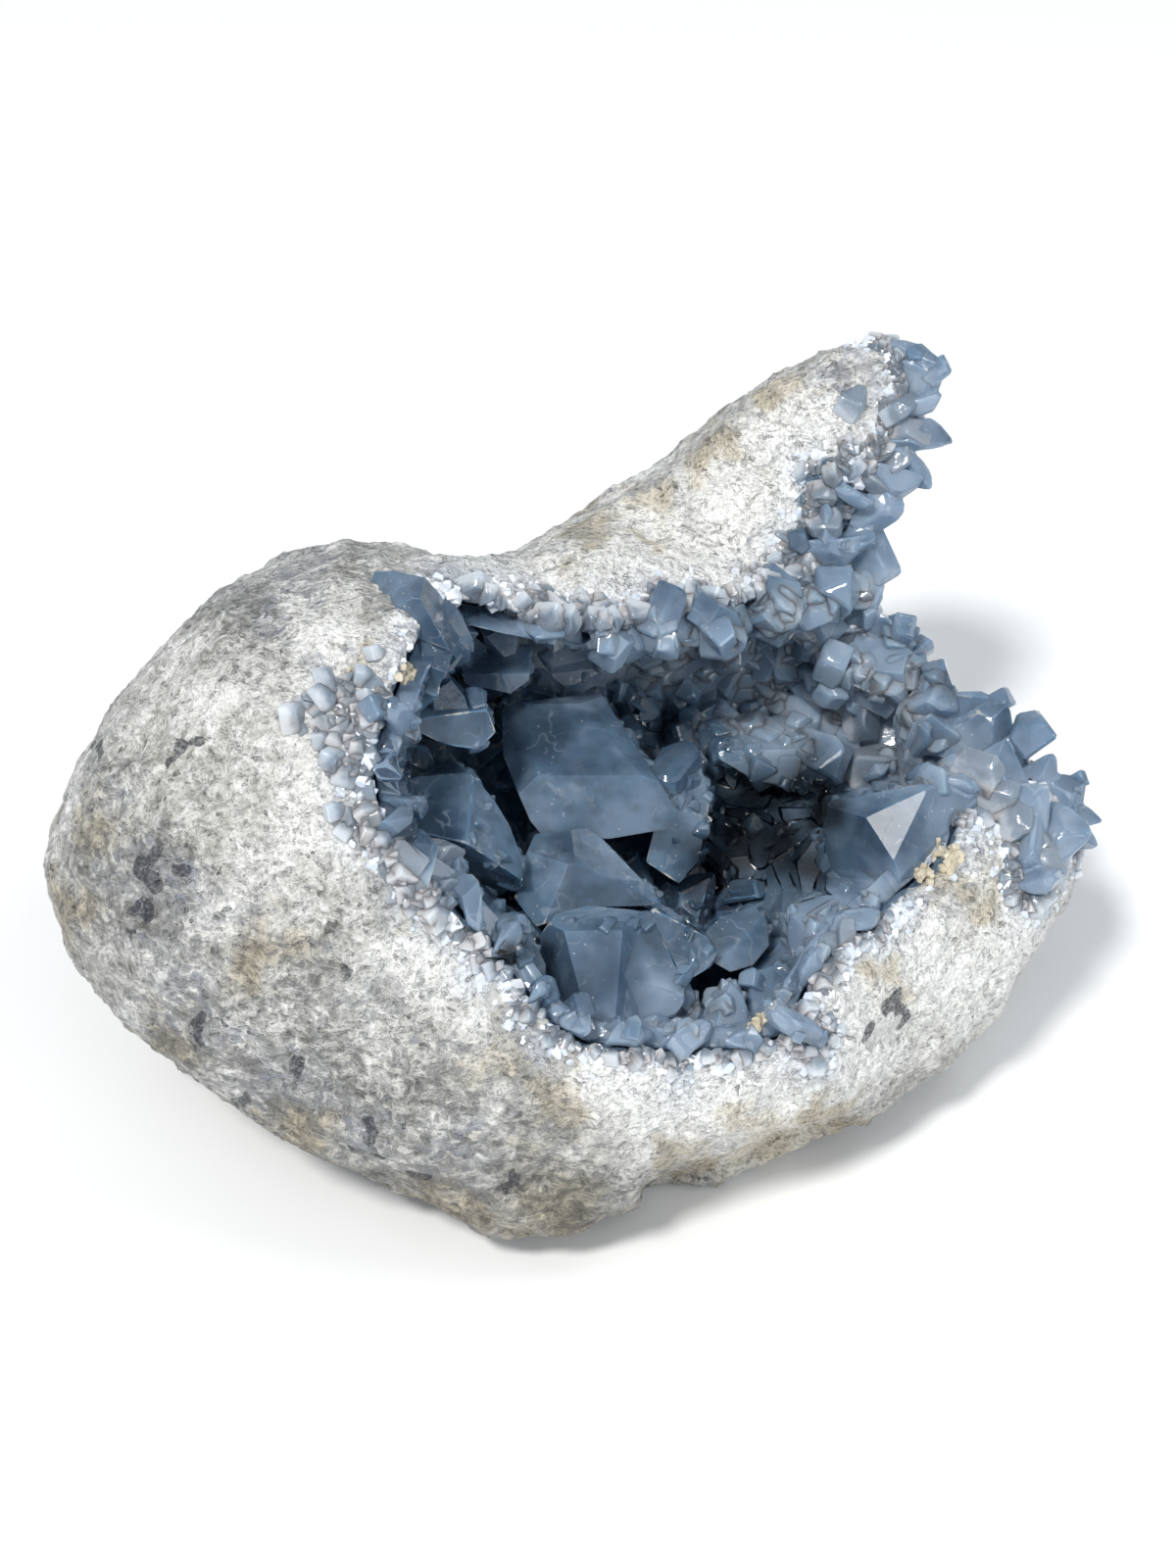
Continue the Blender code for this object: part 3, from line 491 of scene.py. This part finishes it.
def at_crisp(point, inner, outer):
    """1 by the large sharp crystals, and 0 past these shares of their radius."""
    steps = [smoothstep(reach * inner, reach * outer, (point - spot).length) for spot, reach in crisp]
    return max(1 - step for step in steps)
worn = crystals.vertex_groups.new(name="worn")
for i, vert in enumerate(crystals.data.vertices):
    keen = at_crisp(vert.co, 0.8, 1.1)
    worn.add([i], (1 - keen) * (0.35 + 0.65 * (1 - smoothstep(2, 10, to_edge[i]))), "REPLACE")
soften = crystals.modifiers.new("soften", "SMOOTH")
soften.vertex_group = "worn"
soften.factor = 0.5
soften.iterations = 12
apply_all(crystals)
within_box(crystals)
paled(crystals)

# Light tan-grey along parts of the edges: chipped edges, and a painted highlight along them.
chipped_and_edge_highlight = keen_edge.step(keen_edge.noise(3), 0.5, 0.7)
line = keen_edge.mix(chipped_and_edge_highlight, tone(84, 112, 138), tone(186, 184, 176))
pale = keen_edge.painted("pale").larger(keen_edge.painted("rim"))
line = keen_edge.mix(pale, line, tone(122, 140, 160))
# Edges almost black in the pits: painted shade.
pit_shade = keen_edge.step(keen_edge.painted("pit_shade"), 0.0, 0.4)
line = keen_edge.mix(pit_shade, line, tone(8, 14, 22))
keen_edge.surface(keen_edge.principled(Base_Color=line, Roughness=0.2, IOR=CELESTITE_IOR))
cloud = gem.noise(7, 2)
facet = gem.painted("facet")
rim = gem.painted("rim")
rough = gem.step(gem.noise(2.2, 1), 0.45, 0.8, 0.02, 0.14)
swirl = gem.vector("ADD", gem.place, gem.vector("SCALE", gem.noise(6, 2, out="Color"), Scale=5))
ridge = gem.noise(8, 2, place=swirl) - 0.5
here = gem.step(gem.noise(5, 2), 0.45, 0.62)
veil = gem.step(ridge * ridge, 0.0, 0.0004, 1.0, 0.0) * here
speck = gem.step(gem.cells(1.3, out="Distance"), 0.10, 0.16, 1.0, 0.0) * here
tint = gem.mix(gem.step(cloud, 0.35, 0.65), tone(150, 182, 212), tone(206, 220, 234))
calm = gem.near(*MIRROR_FACE, 6, 1.5)
ripple = gem.bump(gem.noise(3.5, 1) * 0.6 + gem.noise(0.8, 2) * (0.3 - calm * 0.3), 0.25, 0.4)
glass = gem.principled(
    Base_Color=tint, Roughness=rough, IOR=CELESTITE_IOR, Transmission_Weight=0.9, Normal=ripple
)
fog = gem.mix(facet, tone(78, 110, 140), tone(118, 146, 170))
deep = gem.painted("deep")
pit_shade = gem.painted("pit_shade")
pale = gem.painted("pale").larger(rim * 0.6) * (1 - deep * 0.8)
fog = gem.mix(pale, fog, tone(160, 176, 194))
# Deep blue in these spots: the crystals' own deep colour, and painted shade where the dome and the strip of
# rind shade them.
fog = gem.mix(deep * 0.85, fog, tone(40, 66, 94))
drift = gem.step(gem.noise(9, 2, place=swirl), 0.46, 0.62) * (0.7 - deep * 0.5)
fog = gem.mix(drift, fog, tone(132, 154, 178))
fog = gem.mix(veil * 0.35, fog, tone(186, 200, 214))
fog = gem.mix(speck * 0.6, fog, tone(226, 230, 232))
# Almost black in the pits at the bottom of the hollow: painted shade.
fog = gem.mix(pit_shade * 0.97, fog, tone(4, 9, 16))
milk = gem.principled(
    Base_Color=fog, Roughness=0.1, IOR=CELESTITE_IOR, Normal=ripple, Subsurface_Weight=0.8,
    Subsurface_Scale=4 * MM, Subsurface_Radius=(0.6, 0.85, 1.0),
)
milky = gem.step(cloud + gem.noise(1.5, 1) * 0.3 + facet * 0.25, 0.5, 1.0, 0.2, 0.7)
milky = milky + pale.larger(pit_shade) * (0.8 - milky)
inner = gem.node("ShaderNodeVolumeAbsorption", None, {"Color": tone(140, 175, 208), "Density": 90})
gem.surface(gem.node("ShaderNodeMixShader", None, {0: milky, 1: glass, 2: milk}), inner)
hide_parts("crystal_crust")
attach(crystals, "root")

# Small crystals: blocks with cut ends, 2 to 9 mm long, that line the hollow between the large ones,
# densest on its walls and thin in its dark pits. Each shape is a width, a breadth and the directions of
# its cuts.
CHIPS = (
    (0.8, 0.6, ((0.5, 0.1, 1), (-1, 0.1, 0.8), (0.8, 0.9, 0.5), (-0.3, -1, 0.4))),
    (0.7, 0.7, ((1, 0, 0.9), (-1, 0.2, 1), (0.1, 1, 0.7), (0, -1, 0.8), (0.7, 0.7, 0.1))),
    (1.0, 0.5, ((0.3, 0.7, 1), (1, 0.5, 0.7), (-1, 0.2, 0.7), (0.2, -1, 0.6))),
    (0.65, 0.6, ((0.8, 0.7, 1), (-0.9, 0.5, 1), (0.1, -0.9, 1), (-0.7, -0.7, 0.1))),
    (0.9, 0.7, ((0.1, 0.4, 1), (1, -0.3, 0.6), (-1, 0.4, 0.4), (-0.6, -0.8, 0.5), (0.6, 0.8, 0.2))),
)
# Height on the block that every cut passes through, over its side
CUT_HEIGHT = 0.62
# Width of the worn edges, for a block 1 high
WORN = 0.05
# Faces that meet more sharply than this keep their edge
KEEN_ANGLE = math.radians(28)
SMALL_COUNT = 1500


def chip(width, breadth, cuts, worn_edge=0.0):
    """A block 1 high, with its top cut by planes of these directions. Gives its points and faces."""
    bpy.ops.object.select_all(action="DESELECT")
    bpy.ops.mesh.primitive_cube_add(size=1, location=(0, 0, 0.5))
    made = bpy.context.object
    made.scale = (width, breadth, 1)
    bpy.ops.object.transform_apply(location=True, rotation=True, scale=True)
    bpy.ops.object.mode_set(mode="EDIT")
    for cut in cuts:
        bpy.ops.mesh.select_all(action="SELECT")
        way = Vector(cut).normalized()
        reach = Vector((way.x * width * 0.5, way.y * breadth * 0.5, CUT_HEIGHT))
        bpy.ops.mesh.bisect(plane_co=reach, plane_no=way, use_fill=True, clear_outer=True)
    if worn_edge:
        bpy.ops.mesh.select_all(action="SELECT")
        bpy.ops.mesh.bevel(offset=worn_edge, affect="EDGES")
    bpy.ops.object.mode_set(mode="OBJECT")
    shape = [v.co.copy() for v in made.data.vertices], [list(p.vertices) for p in made.data.polygons]
    bpy.data.objects.remove(made)
    return shape


chips = [chip(*values) for values in CHIPS]
worn_chips = [chip(*values, WORN) for values in CHIPS]


def rooted(place, way, length, sunk, *widths):
    """A root for grow: a crystal with this share of its length under its place."""
    return (place - way * length * MM * sunk, way, length, *widths)


def grow(name, roots, shapes):
    """One piece of many small crystals. A root gives a crystal's foot, the way that it points and its size."""
    points, faces, tips, facets = [], [], [], []
    for foot, way, length, *widths in roots:
        shape = chance.choice(shapes)
        spin = Matrix.Rotation(chance.uniform(0, 6.28), 3, "Z")
        turn = way.to_track_quat("Z", "Y").to_matrix() @ spin
        widths = widths or [length * chance.uniform(0.7, 1.3)] * 2
        size = Matrix.Diagonal((*widths, length)) * MM
        made = [foot + turn @ (size @ p) for p in shape[0]]
        if all(cad_low[i] < p[i] < cad_high[i] for p in made for i in range(3)):
            faces += [[len(points) + i for i in face] for face in shape[1]]
            points += made
            tips += [p.z for p in shape[0]]
            own = chance.random()
            facets += [own * 0.7 + chance.random() * 0.3 for face in shape[1]]
    mesh = bpy.data.meshes.new(name)
    mesh.from_pydata(points, [], faces)
    obj = bpy.data.objects.new(name, mesh)
    bpy.context.scene.collection.objects.link(obj)
    field(obj, "facet", facets, "FACE")
    field(obj, "tip", tips)
    paled(obj)
    only(obj)
    bpy.ops.object.shade_smooth_by_angle(angle=KEEN_ANGLE)
    return obj


def leaning(way, most):
    """A direction that leans off another by up to this much."""
    return (way + Vector([chance.uniform(-most, most) for i in range(3)])).normalized()


# Where the lip is smooth, with few small crystals on it
SMOOTH_LIP = ((68, -4, 10), (60, 5, 8), (73, -12, 8), (48, 56, 11), (45, 44, 9), (51, 49, 8), (40, 36, 6))
mouth = sum(edge_points, Vector()) / len(edge_points)
roots = []
faces = [p for p in crystals.data.polygons if p.normal.dot((mouth - p.center).normalized()) > 0.1]
areas = [p.area for p in faces]
for face in chance.choices(faces, areas, k=SMALL_COUNT):
    place = face.center
    keen = at_crisp(place, 0.7, 0.95)
    if in_spots(SMOOTH_LIP, place) > 0.3 or chance.random() < max(keen, in_spots(PITS, place)):
        continue
    x, y = sight(place)
    length = chance.uniform(4, 9) if x > 6 and y > 1 else chance.uniform(1.8, 4.5)
    way = leaning(face.normal * 0.7 + (mouth - place).normalized() * 0.6, 0.5)
    roots.append(rooted(place, way, length, 0.6))
small = grow("small_crystals", roots, worn_chips)
small.data.materials.append(gem.material)
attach(small, "root")

# Deep blue crystals that end the dome and stand under the strip of rind, large and smooth, their blue
# deepened by painted shade. A place as seen, the way that each points as seen and toward the viewer, its
# length, width and thickness.
DARK = (
    (-23, 25, 0.8, 0, 0.6, 14, 17, 12), (-24, 18, 0.7, -0.3, 0.6, 13, 14, 11),
    (-18, 19, 0.6, -0.5, 0.6, 10, 11, 9), (-13, 21, 0.4, -0.7, 0.6, 9, 10, 8),
    (-21, 12, 0.4, -0.6, 0.7, 9, 9, 8), (46, 19, 0.4, 0.5, 0.7, 14, 14, 11),
    (11, 24, 0, -0.3, 0.9, 12, 11, 9), (20, 25, 0.2, -0.4, 0.9, 11, 11, 9),
    (28, 19, 0.1, -0.3, 0.9, 11, 10, 9), (34, 13, -0.3, -0.2, 0.9, 10, 11, 9),
    (4, 20, 0.2, -0.5, 0.9, 9, 9, 8), (36, 24, 0, -0.1, 0.9, 11, 10, 9),
    (54, 10, 0.2, 0.6, 0.7, 10, 10, 8), (40, 6, -0.4, 0, 0.9, 9, 9, 8),
)


def pointing(right, up, toward):
    """A direction as seen: to the right, up and toward the viewer."""
    return (RIGHT * right + UP * up + BACK * toward).normalized()


roots = []
for x, y, right, up, toward, length, width, breadth in DARK:
    way = pointing(right, up, toward)
    roots.append(rooted(seen(x, y), way, length, 0.6, width, breadth))
dark_ends = grow("deep_crystals", roots, chips)
dark_ends.data.materials.append(gem.material)
dark_ends.data.materials.append(keen_edge.material)
keen = dark_ends.modifiers.new("edges", "BEVEL")
keen.width = 0.2 * MM
keen.material = 1
keen.limit_method = "ANGLE"
apply_all(dark_ends)
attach(dark_ends, "root")

# Cloudy crystals: pale blue-white ones, 1 to 11 mm long, that lean over the edge of the hollow where
# the rock turns to crystal. A place as seen, the way that it points as seen and toward the viewer, its
# length and its width.
CLOUDY = (
    (-35, 9, 0.6, -0.4, 0.7, 9, 8), (-32, 14, 0.6, 0, 0.7, 9, 8), (-34, 3, 0.7, -0.2, 0.6, 8, 7),
    (-34, -3, 0.7, 0, 0.6, 10, 8), (-31, -8, 0.7, -0.2, 0.6, 8, 7), (-26, -12, 0.7, 0.1, 0.6, 10, 8),
    (-21, -11.5, 0.8, 0, 0.5, 9, 8), (-21, -16.5, 0.7, 0, 0.6, 8, 7), (-30, -13, 0.6, 0, 0.7, 7, 6),
    (36.5, -24, -0.5, 0.6, 0.9, 9, 11), (35.5, -19.5, -0.4, 0.7, 0.8, 6, 7),
    (40, -22, 0, 0.6, 0.9, 6, 6), (64, 0, 0.3, 0.8, 0.6, 8, 9), (68, -4.5, 0.6, 0.5, 0.6, 9, 9),
    (71.5, -8.5, 0.8, 0.3, 0.6, 8, 8), (66, -10, 0.3, 0.4, 0.9, 7, 7), (61, 4, 0.2, 0.8, 0.6, 8, 8),
    (73, -13, 0.8, 0, 0.6, 7, 7), (42, 60.5, 0.5, 0.7, 0.5, 7, 8), (46.5, 57, 0.5, 0.3, 0.8, 7, 9),
    (50, 59, 0.6, 0.3, 0.7, 6, 8), (51.5, 54.5, 0.6, -0.1, 0.8, 7, 8), (49, 50, 0.5, -0.3, 0.8, 8, 9),
    (45.5, 45.5, 0.5, -0.5, 0.8, 8, 9), (41, 42.5, 0.5, -0.6, 0.8, 8, 8),
    (37.5, 39, 0.4, -0.7, 0.8, 7, 7), (40, 48.5, 0.4, -0.5, 0.8, 7, 7), (45, 5, 0.2, 0.6, 0.7, 11, 11),
    (49.5, 6, -0.2, 0.6, 0.7, 10, 9), (44, 11, 0.4, 0, 0.8, 9, 10),
)
# Where the rock itself turns icy, and where its edge carries only fine crystals
ICY = (
    (-38, 13, 4.5), (-36, 8, 5), (-35, 16, 4), (-35, -2, 4), (-32, -6, 4), (-28, -13, 4), (-26, -17, 4),
    (-36, 3, 4),
)
FINE_RIM = ((-5, -38, 12), (15, -42, 15), (30, -40, 10), (-16, -26, 9), (44, -21, 8))
# Points along the lower edge of the strip and of the wing, as seen, and the tips that hang between two
# of them
HANGING = (
    (-18, 28.5), (-12, 25.5), (-6, 23.5), (1, 23), (7.6, 24), (16, 25.8), (27, 28), (31, 33.6),
    (34, 39), (37, 44), (40, 50), (45, 51),
)
TIPS_BETWEEN = 9
EDGE_COUNT = 1100
roots = []
for x, y, right, up, toward, length, width in CLOUDY:
    way = pointing(right, up, toward)
    roots.append(rooted(seen(x, y), way, length, 0.68, width, width * 0.75))
for place in chance.sample(edge_points, min(EDGE_COUNT, len(edge_points))):
    if in_spots(DEEP_AND_SHADED, place, 0.4) > 0.3 or chance.random() < in_spots(SMOOTH_LIP, place) * 0.7:
        continue
    length = chance.uniform(2, 4.5) - 1.4 * in_spots(FINE_RIM, place)
    way = leaning((mouth - place).normalized() * 0.7 + BACK * 0.4, 0.6)
    roots.append(rooted(place, way, length, 0.5))
for vert, hidden in zip(rock.data.vertices, covered):
    if hidden or vert.normal.dot(BACK) < 0.2 or chance.random() > 0.22 * in_spots(ICY, vert.co):
        continue
    length = chance.uniform(2.5, 5)
    way = leaning(vert.normal * 0.6 + (mouth - vert.co).normalized() * 0.7, 0.5)
    roots.append(rooted(vert.co, way, length, 0.68))
for start, end in zip(HANGING, HANGING[1:]):
    for i in range(TIPS_BETWEEN):
        x, y = [a + (b - a) * (i + chance.random()) / TIPS_BETWEEN for a, b in zip(start, end)]
        length = chance.uniform(2, 5)
        way = pointing(chance.uniform(-0.4, 0.5), -0.9, chance.uniform(0.3, 0.9))
        roots.append(rooted(seen(x, y + 1), way, length, 0.6))
cloudy = grow("cloudy_crystals", roots, worn_chips)
mist = Finish("cloudy_celestite")
tip = mist.step(mist.painted("tip") + mist.noise(2, 3) * 0.5, 0.45, 0.85)
facet = mist.painted("facet")
shade = mist.mix(facet, tone(176, 186, 198), tone(214, 219, 225))
shade = mist.mix(tip, shade, mist.mix(facet, tone(124, 144, 166), tone(186, 197, 209)))
ripple = mist.bump(mist.noise(1.2, 2), 0.4, 0.3)
milk = mist.principled(
    Base_Color=shade, Roughness=0.25, IOR=CELESTITE_IOR, Normal=ripple, Subsurface_Weight=0.8,
    Subsurface_Scale=3 * MM, Subsurface_Radius=(0.7, 0.9, 1.0),
)
glass = mist.principled(
    Base_Color=tone(214, 226, 238), Roughness=0.12, IOR=CELESTITE_IOR, Transmission_Weight=0.9,
    Normal=ripple,
)
mist.surface(mist.node("ShaderNodeMixShader", None, {0: 0.9 - tip * 0.5, 1: glass, 2: milk}))
cloudy.data.materials.append(mist.material)
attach(cloudy, "root")

# Grit: crumbs of tan rock that lie on the crystals at the front and right, as seen, with the radius of
# each heap.
GRIT = ((26.3, -37.2, 1.4), (56, -11.5, 2.4), (-28, 17, 1.6), (52, -14, 1.6))
roots = []
for x, y, reach in GRIT:
    for i in range(int(14 * reach)):
        place = seen(x + chance.gauss(0, 0.45) * reach, y + chance.gauss(0, 0.45) * reach)
        roots.append((place - BACK * 0.4 * MM, leaning(BACK, 0.9), chance.uniform(0.8, 1.7)))
grit = grow("grit", roots, worn_chips)
sand = Finish("grit")
shade = sand.mix(sand.painted("facet"), tone(196, 184, 160), tone(236, 230, 214))
shade = sand.mix(sand.noise(0.6, 3) * 0.7, shade, tone(184, 168, 140))
grainy = sand.bump(sand.noise(0.3), 0.6, 0.3)
sand.surface(sand.principled(Base_Color=shade, Roughness=0.8, Normal=grainy))
grit.data.materials.append(sand.material)
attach(grit, "root")

# Rim crystals: sugary white crystals, 1 to 3 mm long, that cover the broken edge of the rock. They thin
# out with the distance from the crust, and are gone at this many millimetres.
RIM_REACH = 5
roots = []
for vert, hidden, far in zip(rock.data.vertices, covered, to_crystal):
    if hidden or far > RIM_REACH or chance.random() > 0.42 * (1 - far / 6):
        continue
    length = chance.uniform(0.9, 2.6) * (1.15 - far / 8)
    way = leaning(vert.normal * 0.8 + (mouth - vert.co).normalized() * 0.4, 0.5)
    roots.append(rooted(vert.co, way, length, 0.5))
sugar = grow("rim_crystals", roots, chips)
frost = Finish("frost")
facet = frost.painted("facet")
shade = frost.mix(facet, tone(196, 206, 220), tone(246, 247, 248))
frost.surface(frost.principled(Base_Color=shade, Roughness=0.35, IOR=1.5))
sugar.data.materials.append(frost.material)
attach(sugar, "root")

# Floor and light: a plain pale floor, a high main light from the left, a wide weak one from the right,
# a bluish sky, and a small card of light for the one bright face.
bpy.ops.object.select_all(action="DESELECT")
bpy.ops.mesh.primitive_plane_add(size=8, location=(0, 0, 0))
floor = bpy.context.object
floor.name = "floor"
paper = Finish("floor")
paper.surface(paper.principled(Base_Color=(0.95, 0.95, 0.95, 1), Roughness=0.9))
floor.data.materials.append(paper.material)
floor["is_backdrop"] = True


def lamp(name, way, distance, size, power, colour=(1, 1, 1)):
    light = bpy.data.objects.new(name, bpy.data.lights.new(name, "AREA"))
    light.data.shape = "DISK"
    light.data.size = size
    light.data.energy = power
    light.data.color = colour
    light.location = SIGHT_TARGET + Vector(way).normalized() * distance
    light.rotation_mode = "QUATERNION"
    light.rotation_quaternion = (SIGHT_TARGET - light.location).to_track_quat("-Z", "Y")
    bpy.context.scene.collection.objects.link(light)


# The card stands where the flat face of the crystal on the right mirrors it to the viewer
bright, upright = stone_tree.ray_cast(EYE, (seen(*MIRROR_FACE) - EYE).normalized())[:2]
to_eye = (EYE - bright).normalized()
mirrored = upright * 2 * upright.dot(to_eye) - to_eye
lamp("card", mirrored, 0.9, 0.22, 0.8)
lamp("key", (-0.32, -0.62, 1.0), 4, 0.6, 112, (1, 0.985, 0.96))
lamp("fill", (0.7, -1.0, 0.6), 3, 1.6, 16, (0.9, 0.95, 1))
sky = bpy.data.worlds.new("sky")
sky.use_nodes = True
sky.node_tree.nodes["Background"].inputs["Color"].default_value = (0.88, 0.94, 1, 1)
sky.node_tree.nodes["Background"].inputs["Strength"].default_value = 0.54
bpy.context.scene.world = sky
bpy.context.scene.view_settings.view_transform = "Standard"

low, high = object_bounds()
